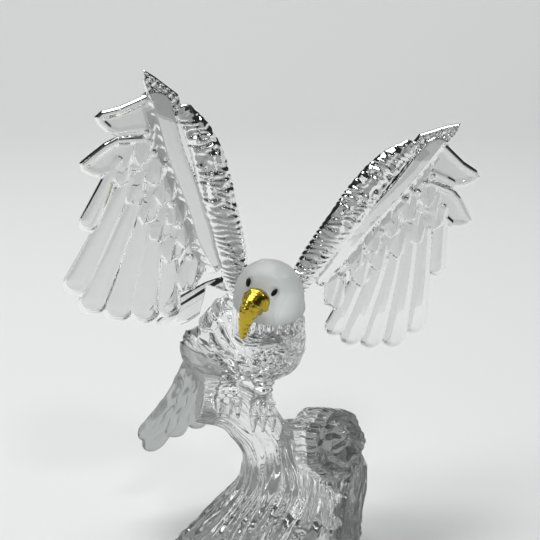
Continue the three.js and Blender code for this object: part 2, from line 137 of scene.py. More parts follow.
# The body.
BREAST = (1.2, -2.2, 70)
REAR = (-18, 22.5, 60)
BREAST_RADIUS = 11.4
EGG_PLACES = [-0.33, -0.23, -0.05, 0.15, 0.36, 0.57, 0.78, 0.98, 1.2]
EGG_SHARES = [0.36, 0.72, 0.96, 1.02, 0.98, 0.9, 0.82, 0.73, 0.64]
EGG_MIDDLE = 0.44
EGG_HALF = 0.79
COLLAR_PATH = [(1.2, -1.8, 69), (1, -3, 76), (1, -4, 84)]
COLLAR_RADII = [10.6, 11.4, 10.6]
COLLAR_MIDDLE = (1, -3)
COLLAR_FLUTES = 26
MANTLE_PATH = [(-1, 9, 81.5), (-3.4, 9.8, 77), (-8.4, 13, 72), (-13.6, 17.4, 66.5)]
MANTLE_ACROSS = [9.6, 10.4, 10.4, 9]
MANTLE_DEEP = [6, 7.6, 8.6, 8.4]
HIPS = [(-0.4, -1.4, 66), (-7.6, 3.4, 65)]
THIGHS = [7, 5.6]
SHIN_RADIUS = 3.2
ANKLE_RADIUS = 2.5

# The tail.
TAIL_ROOT = (-18, 26, 53)
TAIL_TIPS = [(-40.4, 20.4, 29.6), (-38.8, 22, 25.2), (-30.8, 27, 28), (-23.3, 31.5, 29.2),
             (-15.6, 35.5, 30.6), (-8.4, 39, 32.4)]
MIDDLE_TIP = 3
TAIL_BOW = 3
TAIL_STEP = 2.6
TAIL_FEATHER_HALVES = (3.2, 4.4)
TAIL_FEATHER_EDGE = 2.2
TAIL_SEAT = (-16, 4.3, 62.8)
TAIL_DOWN = (-0.03, -0.1, -1)
TAIL_FRONT = (-9, 1, 60)
TAIL_FORWARD = (0.85, -0.53, 0)

# The head and beak.
HEAD_SPACE = ((-14, -20, 73), (16, 10, 101))
HEAD_MIDDLE = (1.1, -6.4, 87.2)
HEAD_RADIUS = 9.7
HEAD_TURN = -22
HEAD_LIFT = 9
HEAD_TILT = 15
EYE_SIDE = 27
EYE_UP = 13
EYE_SLANT = 24
EYE_HALF = (0.75, 0.7, 1.45)
FACE_OUT = 8.2
NECK_BASE = (0.6, -3.2, 75)
NECK_CROWN = (2.2, -7, 97)
NECK_RADIUS = 11.5
NECK_PLACES = [-0.1, 0.16, 0.3, 0.5, 0.7, 0.8]
NECK_SHARES = [1, 1, 0.97, 0.88, 0.72, 0.5]
NECK_JOINT = (1, -13, 79.8)
NECK_NORMAL = (0.1, -0.35, 0.93)
BEAK_HALF_WIDTH = 4.3
BEAK_HALF_HEIGHT = 4
BEAK_REACH = 6.6
BEAK_HOOK = 12.6
BEAK_ROOT = -FACE_OUT - GLUE_GAP
BEAK_PATH = [
    (0, BEAK_ROOT + 1.5, -2.2), (0, BEAK_ROOT - 1.2, -2.3), (0, BEAK_ROOT - 0.62 * BEAK_REACH, -3.6),
    (0, BEAK_ROOT - 0.72 * BEAK_REACH, -7.6), (0, BEAK_ROOT - 0.42 * BEAK_REACH, -2.3 - 0.86 * BEAK_HOOK),
]

# The stage: a flat floor that sweeps up into a low wall all round. Sizes in metres.
FLOOR_RADII = [0.3, 0.6, 0.8]
WALL_REACH = 0.4
WALL_HEIGHT = 0.32
SWEEP_SIDES = 96


# Shapes as fields: each function takes points, one in a row, and gives how far each lies outside the shape.
def row(v):
    return np.asarray(v, np.float32)


def unit(v):
    v = row(v)
    return v / np.linalg.norm(v)


def lengths(v):
    return np.linalg.norm(v, axis=1)


def smooth_union(a, b, soft):
    share = np.clip(0.5 + 0.5 * (b - a) / soft, 0, 1)
    return b + (a - b) * share - soft * share * (1 - share)


def rounded(depth, edge):
    """From 0 at an outline to 1 at edge inside it, along a quarter circle."""
    x = 1 - np.clip(depth / edge, 0, 1)
    return np.sqrt(1 - x * x)


def spline(places, count):
    """Points at even steps along a smooth curve through places."""
    places = np.asarray(places, float)
    ends = np.vstack([2 * places[0] - places[1], places, 2 * places[-1] - places[-2]])
    steps = np.linspace(0, len(places) - 1, count)
    i = np.minimum(steps.astype(int), len(places) - 2)
    t = (steps - i)[:, None]
    a, b, c, d = ends[i], ends[i + 1], ends[i + 2], ends[i + 3]
    curve = 2 * b + (c - a) * t + (2 * a - 5 * b + 4 * c - d) * t ** 2 + (3 * b - a - 3 * c + d) * t ** 3
    return (curve / 2).astype(np.float32)


def along_list(values, t):
    """Reads a list of values at t, which runs from 0 to 1 over the whole list."""
    return np.interp(t, np.linspace(0, 1, len(values)), values).astype(np.float32)


def smooth_read(x, xs, ys):
    """A smooth curve through the points of xs and ys, read at x."""
    slopes = np.gradient(np.asarray(ys, float), xs)
    i = np.clip(np.searchsorted(xs, x, "right") - 1, 0, len(xs) - 2)
    xs, ys = np.asarray(xs, float), np.asarray(ys, float)
    width = xs[i + 1] - xs[i]
    t = np.clip((x - xs[i]) / width, 0, 1)
    rise = ys[i] * (1 + 2 * t) * (1 - t) ** 2 + ys[i + 1] * t * t * (3 - 2 * t)
    bend = slopes[i] * t * (1 - t) ** 2 - slopes[i + 1] * t * t * (1 - t)
    return (rise + width * bend).astype(np.float32)


def nearest(points, path):
    """The nearest place on a path, from 0 to 1 along it, the offset from there, and the path's way there."""
    best = np.full(len(points), np.inf, np.float32)
    share = np.zeros(len(points), np.float32)
    offset = np.zeros_like(points)
    way = np.zeros_like(points)
    pieces = len(path) - 1
    for i in range(pieces):
        step = path[i + 1] - path[i]
        rel = points - path[i]
        t = np.clip(rel @ step / (step @ step), 0, 1)
        gap = rel - t[:, None] * step
        distance = np.einsum("ij,ij->i", gap, gap)
        closer = distance < best
        best[closer] = distance[closer]
        share[closer] = (i + t[closer]) / pieces
        offset[closer] = gap[closer]
        way[closer] = step / np.linalg.norm(step)
    return share, offset, way


def left_of(offset, way):
    """How far a flat offset lies to the left of a flat way."""
    return way[:, 0] * offset[:, 1] - way[:, 1] * offset[:, 0]


def across(offset, way):
    """How long an offset is without its part along a way."""
    along = offset @ way
    return np.sqrt(np.maximum(np.einsum("ij,ij->i", offset, offset) - along * along, 0))


def within(points, space, field, margin=3):
    """Works out a field only near its box, and gives the way to the box elsewhere."""
    low, high = row(space[0]), row(space[1])
    out = np.maximum(np.maximum(low - points, points - high), 0)
    result = lengths(out) + margin
    near = result < 2 * margin
    if near.any():
        result[near] = field(points[near])
    return result


def tube(points, path, radii):
    share, offset = nearest(points, path)[:2]
    return lengths(offset) - along_list(radii, share)


def outline_depth(points, outline):
    """How far each point lies inside a closed outline, seen flat; less than nothing outside it."""
    x, y = points[:, 0], points[:, 1]
    squared = np.full(len(points), np.inf, np.float32)
    inside = np.zeros(len(points), bool)
    for (ax, ay), (bx, by) in zip(outline, outline[1:] + outline[:1]):
        ex, ey = bx - ax, by - ay
        t = np.clip(((x - ax) * ex + (y - ay) * ey) / (ex * ex + ey * ey), 0, 1)
        squared = np.minimum(squared, (x - ax - t * ex) ** 2 + (y - ay - t * ey) ** 2)
        if ey:
            inside ^= ((ay > y) != (by > y)) & (x < ax + (y - ay) * ex / ey)
    return np.where(inside, 1, -1) * np.sqrt(squared)


def cut_ends(points, path, shape):
    """Cuts a tube flat at both ends of its path."""
    first, last = unit(path[1] - path[0]), unit(path[-1] - path[-2])
    return np.maximum(np.maximum(shape, (path[0] - points) @ first), (points - path[-1]) @ last)


def seen_from(points, matrix):
    """Points of the figurine's place in the matrix's own place."""
    inverse = np.array(matrix.inverted(), np.float32)
    return points @ inverse[:3, :3].T + inverse[:3, 3]


# Meshes from fields.
def sampled(field, low, high, step):
    """The field on a grid, worked out finely only in the blocks that its surface may cross."""
    block = 4
    count = [int(math.ceil((h - l) / (step * block))) * block for l, h in zip(low, high)]
    axes = [l + step * np.arange(n, dtype=np.float32) for l, n in zip(low, count)]
    middles = np.stack(np.meshgrid(*[a.reshape(-1, block).mean(1) for a in axes], indexing="ij"), -1)
    coarse = field(middles.reshape(-1, 3)).reshape(middles.shape[:3])
    values = np.empty([n for c in coarse.shape for n in (c, block)], np.float32)
    values[:] = coarse[:, None, :, None, :, None]
    blocks = values.transpose(0, 2, 4, 1, 3, 5)
    around = step * (np.arange(block, dtype=np.float32) - (block - 1) / 2)
    around = np.stack(np.meshgrid(around, around, around, indexing="ij"), -1).reshape(-1, 3)
    busy = np.argwhere(np.abs(coarse) < step * block * 1.7)
    for part in np.array_split(busy, max(1, len(busy) // 4000)):
        where = tuple(part.T)
        points = (middles[where][:, None, :] + around).reshape(-1, 3)
        blocks[where] = field(points).reshape(-1, block, block, block)
    return values.reshape(count)


def crossed_cells(values):
    """The grid's cells that the surface crosses, and in each the middle of where it crosses the edges."""
    inside = values < 0
    corners = [(x, y, z) for x in (0, 1) for y in (0, 1) for z in (0, 1)]
    total = np.zeros([n - 1 for n in values.shape], np.uint8)
    for corner in corners:
        total += inside[tuple(slice(c, c + n - 1) for c, n in zip(corner, values.shape))]
    cells = np.argwhere((total > 0) & (total < 8))
    sums = np.zeros((len(cells), 3), np.float32)
    hits = np.zeros((len(cells), 1), np.float32)
    for start in corners:
        for axis in range(3):
            if start[axis]:
                continue
            end = list(start)
            end[axis] = 1
            a = values[tuple((cells + start).T)]
            b = values[tuple((cells + end).T)]
            crossing = (a < 0) != (b < 0)
            t = np.where(crossing, a / np.where(crossing, a - b, 1), 0)
            place = np.tile(row(start), (len(cells), 1))
            place[:, axis] += t
            sums += place * crossing[:, None]
            hits += crossing[:, None]
    return cells, cells + sums / hits


def cell_faces(values, cells):
    """A four-sided face between the four cells round every edge of the grid that the surface crosses."""
    inside = values < 0
    number = np.full([n - 1 for n in values.shape], -1, np.int32)
    number[tuple(cells.T)] = np.arange(len(cells))
    faces = []
    for axis in range(3):
        second, third = (axis + 1) % 3, (axis + 2) % 3
        lower = [slice(1, -1)] * 3
        upper = [slice(1, -1)] * 3
        lower[axis] = slice(0, -1)
        upper[axis] = slice(1, None)
        first, last = inside[tuple(lower)], inside[tuple(upper)]
        place = np.argwhere(first != last)
        leaving = first[tuple(place.T)]
        place[:, second] += 1
        place[:, third] += 1
        ring = []
        for back_second, back_third in ((1, 1), (0, 1), (0, 0), (1, 0)):
            cell = place.copy()
            cell[:, second] -= back_second
            cell[:, third] -= back_third
            ring.append(number[tuple(cell.T)])
        ring = np.stack(ring, 1)
        ring[~leaving] = ring[~leaving][:, ::-1]
        faces.append(ring)
    return np.concatenate(faces)


def settle(points, field, step):
    """Moves points up or down the field's slope onto the surface."""
    nudge_length = 0.04
    least_slope = 0.05
    for _ in range(3):
        here = field(points)
        slope = np.empty_like(points)
        for axis in range(3):
            nudge = np.zeros(3, np.float32)
            nudge[axis] = nudge_length
            slope[:, axis] = (field(points + nudge) - field(points - nudge)) / (2 * nudge_length)
        steep = np.maximum(np.einsum("ij,ij->i", slope, slope), least_slope)
        move = -slope * (here / steep)[:, None]
        length = np.maximum(lengths(move)[:, None], 1e-9)
        points = points + move * np.minimum(1, 0.4 * step / length)
    return points


def mesh_points(field, space, fine):
    """Points and four-sided faces of the surface where a field is zero, found on a grid whose step is fine.
    """
    step = fine
    values = sampled(field, *space, step)
    cells, places = crossed_cells(values)
    points = settle(row(space[0]) + step * places, field, step)
    return points, cell_faces(values, cells)


def node_space(node, margin=1.0):
    """The box of a node of the frame in millimetres, a little larger."""
    low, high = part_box(node)
    return [v / MM - margin for v in low], [v / MM + margin for v in high]


def make_piece(name, points, faces, material, node, painted_shade_material=None, painted_shade_faces=None):
    """A mesh from points in millimetres, in the place of a node. Chosen faces take the other material, a
    darker copy of the crystal painted as shade.
    """
    mesh = bpy.data.meshes.new(name)
    low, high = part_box(node)
    points = np.clip(row(points) * MM, low, high)
    faces = np.asarray(faces, np.int32)
    mesh.vertices.add(len(points))
    mesh.vertices.foreach_set("co", points.ravel())
    mesh.loops.add(faces.size)
    mesh.loops.foreach_set("vertex_index", faces.ravel())
    mesh.polygons.add(len(faces))
    mesh.polygons.foreach_set("loop_start", np.arange(0, faces.size, faces.shape[1], dtype=np.int32))
    mesh.polygons.foreach_set("use_smooth", np.full(len(faces), True))
    mesh.materials.append(material)
    if painted_shade_material:
        mesh.materials.append(painted_shade_material)
        mesh.polygons.foreach_set("material_index", painted_shade_faces.astype(np.int32))
    mesh.update(calc_edges=True)
    obj = bpy.data.objects.new(name, mesh)
    bpy.context.scene.collection.objects.link(obj)
    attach(obj, "root")
    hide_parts(node)


# The wing, flat.
ARM = spline(ARM_PATH, 40)
BEVEL = spline(BEVEL_PATH, 24)
INNER = spline(INNER_FEATHER, 12)


def sheet_back(out, up):
    """How far back the wing's sheet lies at a place on it."""
    return -1.3 + 0.183 * out - 0.048 * up + 0.00147 * up * up - 0.00337 * out * up - 0.00128 * out * out


def flat_axis(root, tip):
    """A feather's root, the way to its tip and its length, seen flat."""
    root = row(root)
    way = row(tip) - root
    length = np.linalg.norm(way)
    return root, way / length, length


def blade(points, root, tip, root_half, tip_half, thick, edge, front=0):
    """A feather with a round tip and round edges."""
    root, way, length = flat_axis(root, tip)
    rel = points[:, :2] - root
    on = np.clip(rel @ way, 0, length - tip_half)
    share = on / (length - tip_half)
    half = root_half + (tip_half - root_half) * share
    depth = half - lengths(rel - on[:, None] * way)
    height = thick * rounded(depth, edge)
    return np.maximum(np.abs(points[:, 2] - front) - height, -depth)


def covert(points, root, tip, half, base):
    """A small feather that rises towards its tip, where it ends in a steep scalloped edge."""
    root, way, length = flat_axis(root, tip)
    rel = points[:, :2] - root
    on = rel @ way
    side = rel @ np.array([-way[1], way[0]], np.float32)
    held = np.clip(on, 0, length - half)
    depth = half - np.hypot(on - held, side)
    depth = depth - COVERT_NOTCH * np.abs(np.sin(0.9 * side + root[0])) * (on > length - half)
    crease = 0.9 * np.abs(side + 0.5 * np.sin(1.3 * root[0])) / half
    crease = crease + 0.22 * np.sin(1.8 * side + 0.6 * on + root[1])
    height = base + COVERT_LIFT * np.clip(on / length, 0, 1) - crease
    top = points[:, 2] - height * rounded(depth, COVERT_EDGE)
    return np.maximum(np.maximum(top, COVERT_BACK - points[:, 2]), -depth)


def finger(points, outline, front, stripes):
    """A large feather at the wing's end: a plate with a thick rim, dished inside it."""
    depth = outline_depth(points, outline) + 0.1
    dish = 0.9 * np.clip((depth - FINGER_RIM) / 1.3, 0, 1)
    lines = stripes * np.abs(np.sin(1.3 * points[:, 0] + 0.9 * points[:, 1])) * (depth > 0.6)
    edge = rounded(depth, FINGER_RIM)
    z = points[:, 2] - front
    top = z - (FINGER_THICK - dish) * edge + lines
    return np.maximum(np.maximum(top, -z - FINGER_THICK * edge), -depth)


def arm(points):
    """The wing's thick front edge, ridged across, with lumps on its outer half."""
    share, offset, way = nearest(points[:, :2], ARM)
    lead = left_of(offset, way)
    half = along_list(ARM_HALF, share)
    thick = along_list(ARM_THICK, share)
    side = lengths(offset) / half
    wander = 0.3 * np.sin(share * 29) + 0.2 * np.sin(1.1 * lead + 41 * share)
    turn = share * ARM_LENGTH / RIDGE_STEP + 0.2 * lead + wander
    ridge = 2 * np.abs(turn - np.floor(turn) - 0.5) - 0.5
    uneven = 0.75 + 0.35 * np.sin(0.9 * lead + 23 * share)
    strength = np.interp(share, RIDGE_PLACES, RIDGE_STRENGTHS) * uneven
    x, y = points[:, 0], points[:, 1]
    lumps = np.sin(1.15 * x + 0.5 * y + np.sin(0.7 * y)) * np.sin(0.95 * y - 0.4 * x + 1 + np.sin(0.9 * x))
    patch = np.interp(share, LUMP_PLACES, LUMP_STRENGTHS) * np.clip(1.3 - 1.3 * side * side, 0, 1)
    z = points[:, 2] - along_list(ARM_LIFT, share)
    body = (np.hypot(side, z / thick) - 1) * np.minimum(half, thick) * 1.05
    edge = np.clip(1.5 - 1.3 * side, 0.25, 1)
    return (body - RIDGE_HEIGHT * strength * ridge * edge - patch * lumps) * 0.7


def web(points):
    """The plain facet along the arm, and the streaked band that falls away from it."""
    share, offset, way = nearest(points[:, :2], BEVEL)
    lead = left_of(offset, way)
    depth = BEVEL_HALF * np.clip(0.55 + 2 * share, 0, 1) - lengths(offset)
    slope = np.where(lead > 0, 0.14 * lead, 0.9 * lead)
    streaks = 0.25 * np.sin(1.7 * points[:, 1] + 0.8 * points[:, 0]) * (lead < -0.6)
    height = np.clip(BEVEL_HEIGHT + slope + streaks, 0.2, 3) * rounded(depth, 0.8)
    under = -points[:, 2] - 1.5 * rounded(depth, 1.2)
    return np.maximum(np.maximum(points[:, 2] - height, under), -depth)


def inner_feather(points):
    """The thin lens-shaped feather that folds back along the body."""
    share, offset = nearest(points, INNER)[:2]
    flat_way = unit(INNER_FEATHER_FLAT)
    side = across(offset, flat_way)
    half = along_list([2, 3.8, 4.5, 2], share)
    thick = along_list([1, 0.9, 0.9, 0.6], share)
    lens = thick * (1 - (side / half) ** 2) + 0.12 * np.sin(2.2 * side)
    return np.maximum(np.abs(offset @ flat_way) - lens, side - half) * 0.8


def wing_flat(points):
    """The flat wing and its inner feather, at points in the flat wing's own place."""
    result = np.minimum(arm(points), web(points))
    for i, (root, tip, half) in enumerate(LONG_FEATHERS):
        lift = -0.3 * (i % 2)
        feather = blade(points, root, tip, 0.62 * half, half, LONG_FEATHER_THICK, LONG_FEATHER_EDGE, lift)
        result = np.minimum(result, feather)
    for i, outline in enumerate(FINGERS):
        result = np.minimum(result, finger(points, outline, 0 if i else 1, 0 if i else 1.1))
    for tip in COVERT_TIPS:
        root = (tip[0] - 3.4, tip[1] + 13)
        result = np.minimum(result, covert(points, root, tip, 3.8, 0.9))
    for tip in UPPER_COVERT_TIPS:
        root = (tip[0] - 2.6, tip[1] + 9)
        result = np.minimum(result, covert(points, root, tip, 3.5, 1.5))
    for place in BUMPS:
        result = np.minimum(result, lengths(points - row([*place, BUMP_LIFT])) - BUMP_RADIUS)
    out, up, front = points.T
    placed = np.stack([out, sheet_back(out, up) - front, up], 1) * WING_SIZE
    result = np.minimum(result, within(placed, INNER_FEATHER_SPACE, inner_feather))
    seat = WING_JOINT_UP + GLUE_GAP / 2 - WING_SIZE * up
    return np.where(out < WING_JOINT_OUT, np.maximum(result, seat), result)


def wing_matrix():
    turn = Matrix.Rotation(math.radians(WING_TURN), 4, "Z")
    bank = Matrix.Rotation(math.radians(WING_BANK), 4, "Y")
    return np.array(Matrix.Translation(SHOULDERS) @ turn @ bank)


def wing_painted_shade(middles):
    """True at the middles of the faces of the arm, the first finger and the band beside the plain facet,
    which take a darker copy of the crystal as painted shade.
    """
    share, offset, way = nearest(middles[:, :2], BEVEL)
    lead = left_of(offset, way)
    painted_shade_faces = (lead < -0.2) & (lead > -2.8) & (share > 0.01) & (share < 0.99)
    painted_shade_faces |= outline_depth(middles, FINGERS[0]) > -0.5
    share, offset = nearest(middles[:, :2], ARM)[:2]
    on_arm = lengths(offset) < 0.97 * along_list(ARM_HALF, share)
    return painted_shade_faces | (on_arm & (share > 0.02) & (share < 0.99))


# The wings' crystal is tinted a little grey, and the arm, the first finger and the band beside the plain
# facet take a much darker copy: both are painted shade.
def make_wings(clear, painted_shade):
    points, faces = mesh_points(wing_flat, WING_SPACE, fine=0.33)
    painted_shade_faces = wing_painted_shade(points[faces].mean(1))
    out, up, front = points.T
    bent = WING_SIZE * np.stack([out, sheet_back(out, up) - front, up], 1)
    matrix = wing_matrix()
    left = bent @ matrix[:3, :3].T + matrix[:3, 3]
    right = (bent * (-1, 1, 1)) @ matrix[:3, :3].T + matrix[:3, 3]
    for name, side, ring in (("wing_left", left, faces[:, ::-1]), ("wing_right", right, faces)):
        make_piece("crystal_" + name, side, ring, clear, name, painted_shade, painted_shade_faces)


# The stump, in the figurine's own place.
PERCH = spline(PERCH_PATH, 24)


def trunk(points):
    """The fluted stump, which spreads to its foot, with broken flutes low down."""
    x, y, z = points.T
    left = smooth_read(z, STUMP_UP, STUMP_LEFT)
    right = smooth_read(z, STUMP_UP, STUMP_RIGHT)
    depth = smooth_read(z, STUMP_UP, STUMP_DEPTH)
    half = (right - left) / 2
    dx, dy = x - (left + right) / 2, y - 2 * (1 - depth)
    share = np.hypot(dx / half, dy / (FOOT_DEPTH * depth))
    radius = np.hypot(dx, dy) / np.maximum(share, 1e-3)
    angle = np.arctan2(dy / depth / FOOT_DEPTH, dx / half)
    warp = angle + 0.035 * np.sin(4 * angle + 0.21 * z) + 0.03 * np.sin(7 * angle - 0.13 * z + 1.3)
    ridge = np.abs(np.sin(STUMP_FLUTES * warp)) - 0.6
    swell = 0.65 + 0.35 * np.sin(0.34 * z + 5 * angle)
    low = np.clip((14 - z) / 8, 0, 1)
    scales = np.sin(21 * angle + 0.5 * z) * np.sin(0.95 * z + 6 * angle + np.sin(8 * angle))
    relief = (0.85 * ridge + 0.12) * swell + 0.5 * np.cos(STUMP_LOBES * angle) + 0.7 * scales * low
    fade = np.clip((44 - z) / 16, 0.15, 1)
    side = (share - 1) * np.minimum(radius, 40) * 0.8 - relief * fade
    return np.maximum(np.maximum(side, z - STUMP_UP[-1]), -z)


def perch(points):
    """The fluted branch that leans out to the left, cut off at its end."""
    share, offset, way = nearest(points, PERCH)
    across_way = np.cross(row((0, 1, 0)), way)
    across_way /= np.linalg.norm(across_way, axis=1, keepdims=True)
    outward = np.cross(way, across_way)
    angle = np.arctan2(np.einsum("ij,ij->i", offset, outward), np.einsum("ij,ij->i", offset, across_way))
    warp = angle + 0.05 * np.sin(14 * share) + 0.04 * np.sin(3 * angle + 9 * share)
    ridge = np.abs(np.sin(PERCH_FLUTES * warp)) - 0.6
    radius = along_list(PERCH_RADII, share) + 0.3 * np.cos(9 * angle) + 0.5 * ridge
    end_way = unit(np.subtract(PERCH[-1], PERCH[-2]))
    return np.maximum(lengths(offset) - radius, (points - PERCH[-1]) @ end_way)


def stub(points):
    """The sawn stub with furrowed bark, and wavy rings on its hollow face."""
    out = unit(STUB_OUT)
    side = unit(np.cross((0, 0, 1), out))
    top = np.cross(out, side)
    rel = points - row(STUB_MIDDLE)
    on, a, b = rel @ out, rel @ side, rel @ top
    angle = np.arctan2(b, a)
    radius = np.hypot(a, b)
    shape = smooth_read(on, STUB_PLACES, STUB_SHARES)
    bark = 0.05 * np.cos(7 * angle + 0.6) + 0.035 * (np.abs(np.sin(14 * angle + 0.3 * np.sin(on))) - 0.6)
    body = radius - STUB_RADIUS * (shape + bark)
    lines = np.hypot((a - 2.5) / 1.5, b + 1) + 0.7 * np.sin(0.75 * a + 0.4 * b)
    lines = lines + 0.4 * np.sin(1.1 * b - 0.5 * a)
    rings = RING_DEPTH * (0.5 - np.abs(np.sin(math.pi * lines / RING_STEP)))
    dish = -0.9 * np.clip(1 - (radius / (0.86 * STUB_RADIUS)) ** 2, -0.5, 1)
    face = on - 0.5 - dish - rings * np.clip((0.9 * STUB_RADIUS - radius) / 1.5, 0, 1)
    return np.maximum(np.maximum(body, face * 0.8), -STUB_LENGTH - on)


def feet(points):
    """Two feet with three toes each, which hook over the front of the perch."""
    result = np.full(len(points), FAR, np.float32)
    for ankle in ANKLES:
        ankle = row(ankle)
        foot = 2.4 * (lengths((points - ankle - (0, 0, -1.2)) / (3, 3, 2.4)) - 1)
        for spread in (-1, 0, 1):
            toe = spline(ankle + np.array(TOE_PATH) * (spread, 1, 1), 12)
            share, offset = nearest(points, toe)[:2]
            knuckles = 0.16 * np.sin(share * 34) * (share < 0.75)
            foot = smooth_union(foot, lengths(offset) - along_list(TOE_RADII, share) - knuckles, 0.5)
        top = points[:, 2] - ankle[2] + GLUE_GAP / 2
        result = np.minimum(result, np.maximum(foot, top))
    return result


def stump_field(points):
    wood = smooth_union(trunk(points), within(points, PERCH_SPACE, perch), 1.5)
    wood = smooth_union(wood, within(points, STUB_SPACE, stub), 1.0)
    return smooth_union(wood, within(points, FEET_SPACE, feet), 0.6)


def stump_painted_shade(middles):
    """True at the middles of the faces of the stub's end and of the stump's front below it, which take a
    near-black copy of the crystal as painted shade.
    """
    rel = middles - STUB_MIDDLE
    out = unit(STUB_OUT)
    on = rel @ out
    radius = lengths(rel - on[:, None] * out)
    x, y, z = middles.T
    # The stump's right front, painted dark as shade.
    flank = (x > 22 + 1.5 * np.sin(0.9 * z)) & (y < 1 + np.sin(z)) & (z > 2)
    return flank | ((on > -3) & (radius < 1.25 * STUB_RADIUS))


# The stub's end and the stump's right front take a near-black copy of the crystal: painted shade.
def make_stump(bright, painted_deep_shade):
    points, faces = mesh_points(stump_field, STUMP_SPACE, fine=0.45)
    painted_shade_faces = stump_painted_shade(points[faces].mean(1))
    make_piece("crystal_stump", points, faces, bright, "stump", painted_deep_shade, painted_shade_faces)


# The body, and the space in it that the tail takes.
MANTLE = spline(MANTLE_PATH, 14)
COLLAR = spline(COLLAR_PATH, 8)


def soft_facets(points):
    x, y, z = points.T
    first = np.abs(np.sin(0.62 * x + 0.4 * y - 0.3 * z)) + np.abs(np.sin(0.55 * z + 0.45 * x + 0.8))
    return 0.3 * (first - 1.2) + 0.2 * np.sin(1.1 * x - 0.9 * z + 0.6 * y) * np.sin(0.8 * z + 0.5 * x)


def back(points):
    """The egg of the body from breast to rear, and the mantle on it between the wings."""
    breast, rear = row(BREAST), row(REAR)
    axis = rear - breast
    length = np.linalg.norm(axis)
    t = (points - breast) @ axis / length ** 2
    side = lengths(points - breast - t[:, None] * axis)
    egg = side - BREAST_RADIUS * smooth_read(t, EGG_PLACES, EGG_SHARES)
    egg = -smooth_union(-egg, -np.abs(t - EGG_MIDDLE) * length + EGG_HALF * length, 3)
    share, offset = nearest(points, MANTLE)[:2]
    across_way = row(wing_matrix()[:3, 0])
    half, deep = along_list(MANTLE_ACROSS, share), along_list(MANTLE_DEEP, share)
    oval = np.hypot(offset @ across_way / half, across(offset, across_way) / deep)
    mantle = cut_ends(points, MANTLE, (oval - 1) * deep)
    return smooth_union(egg, mantle, 2) + soft_facets(points)


def below_seat(points):
    """How far below the tail's seat each point lies, less than nothing above it."""
    return (points - row(TAIL_SEAT)) @ unit(TAIL_DOWN)


def tail_space(points, extra):
    """Less than nothing in the part of the back that belongs to the tail, grown by extra."""
    behind = (points - row(TAIL_FRONT)) @ unit(TAIL_FORWARD)
    return np.maximum(-below_seat(points), behind) - extra


def leg(points, i, extra=0.0):
    """A ringed leg from the hip down to its foot."""
    hip, ankle = row(HIPS[i]), row(ANKLES[i])
    below = ankle + 0.1 * (ankle - hip)
    share, offset = nearest(points, spline([hip, (hip + below) / 2, below], 8))[:2]
    radius = along_list([THIGHS[i], 0.74 * THIGHS[i], SHIN_RADIUS, ANKLE_RADIUS], share) + extra
    radius = radius * (1 + 0.09 * np.cos(38 * share + 0.5 * np.sin(2 * points[:, 0])))
    return np.maximum(lengths(offset) - radius, ankle[2] + GLUE_GAP / 2 - points[:, 2])


def body_field(points):
    x, y, z = points.T
    near_tail = np.clip(1 - np.abs(tail_space(points, 0)) / 5, 0, 1)
    jags = 0.6 * np.sin(2.1 * x + 0.9 * y) * np.sin(1.9 * z + 0.7 * x + 0.5) * near_tail
    result = np.maximum(back(points) + jags, -tail_space(points, GLUE_GAP / 2))
    turn = np.arctan2(y - COLLAR_MIDDLE[1], x - COLLAR_MIDDLE[0])
    flutes = 0.2 * np.cos(COLLAR_FLUTES * turn) * np.clip((z - 75.5) / 3, 0, 1)
    result = smooth_union(result, tube(points, COLLAR, COLLAR_RADII) + 0.3 + flutes, 1.5)
    result = smooth_union(result, leg(points, 0), 1)
    result = smooth_union(result, leg(points, 1), 1)
    joint = (points - row(NECK_JOINT)) @ unit(NECK_NORMAL)
    matrix = wing_matrix()
    seat = matrix[:3] @ (0, 0, WING_JOINT_UP, 1)
    lid = (points - row(seat)) @ row(matrix[:3, 2])
    return np.maximum(result, np.maximum(joint, lid) + GLUE_GAP / 2)


def make_body(bright):
    points, faces = mesh_points(body_field, node_space("body"), fine=0.42)
    make_piece("crystal_body", points, faces, bright, "body")


# The tail: the end of the back below its seat, and a fan of feathers.
def tail_axes():
    """The tail's root, and the ways across the fan, along it and out of its front."""
    along_way = unit(np.subtract(TAIL_TIPS[MIDDLE_TIP], TAIL_ROOT))
    across_way = unit(np.subtract(TAIL_TIPS[-1], TAIL_TIPS[1]))
    front = unit(np.cross(across_way, along_way))
    return row(TAIL_ROOT), np.array([across_way, along_way, front if front[1] < 0 else -front])


def tail_fan(level):
    """Six feathers from one root. The outer two bow, and faint barbs cross them all."""
    root, axes = tail_axes()
    fan = np.full(len(level), FAR, np.float32)
    for i, place in enumerate(TAIL_TIPS):
        tip = axes @ np.subtract(place, root)
        start = np.array([TAIL_STEP * max(i - MIDDLE_TIP, -2), -3, 0])
        share = np.clip((level[:, 1] - start[1]) / (tip[1] - start[1]), 0, 1)
        bow = TAIL_BOW * np.sin(math.pi * share) if i < 2 else 0
        flat = np.stack([level[:, 0] - bow, level[:, 1], level[:, 2] - share * tip[2]], 1)
        barbs = 0.4 * np.sin(1.9 * flat[:, 0] + 0.9 * flat[:, 1] + np.sin(0.8 * flat[:, 1]))
        thick = 2.5 - 1.5 * share + barbs * (1.2 - share)
        feather = blade(flat, start[:2], tip[:2], *TAIL_FEATHER_HALVES, thick, TAIL_FEATHER_EDGE)
        fan = np.minimum(fan, feather)
    return fan


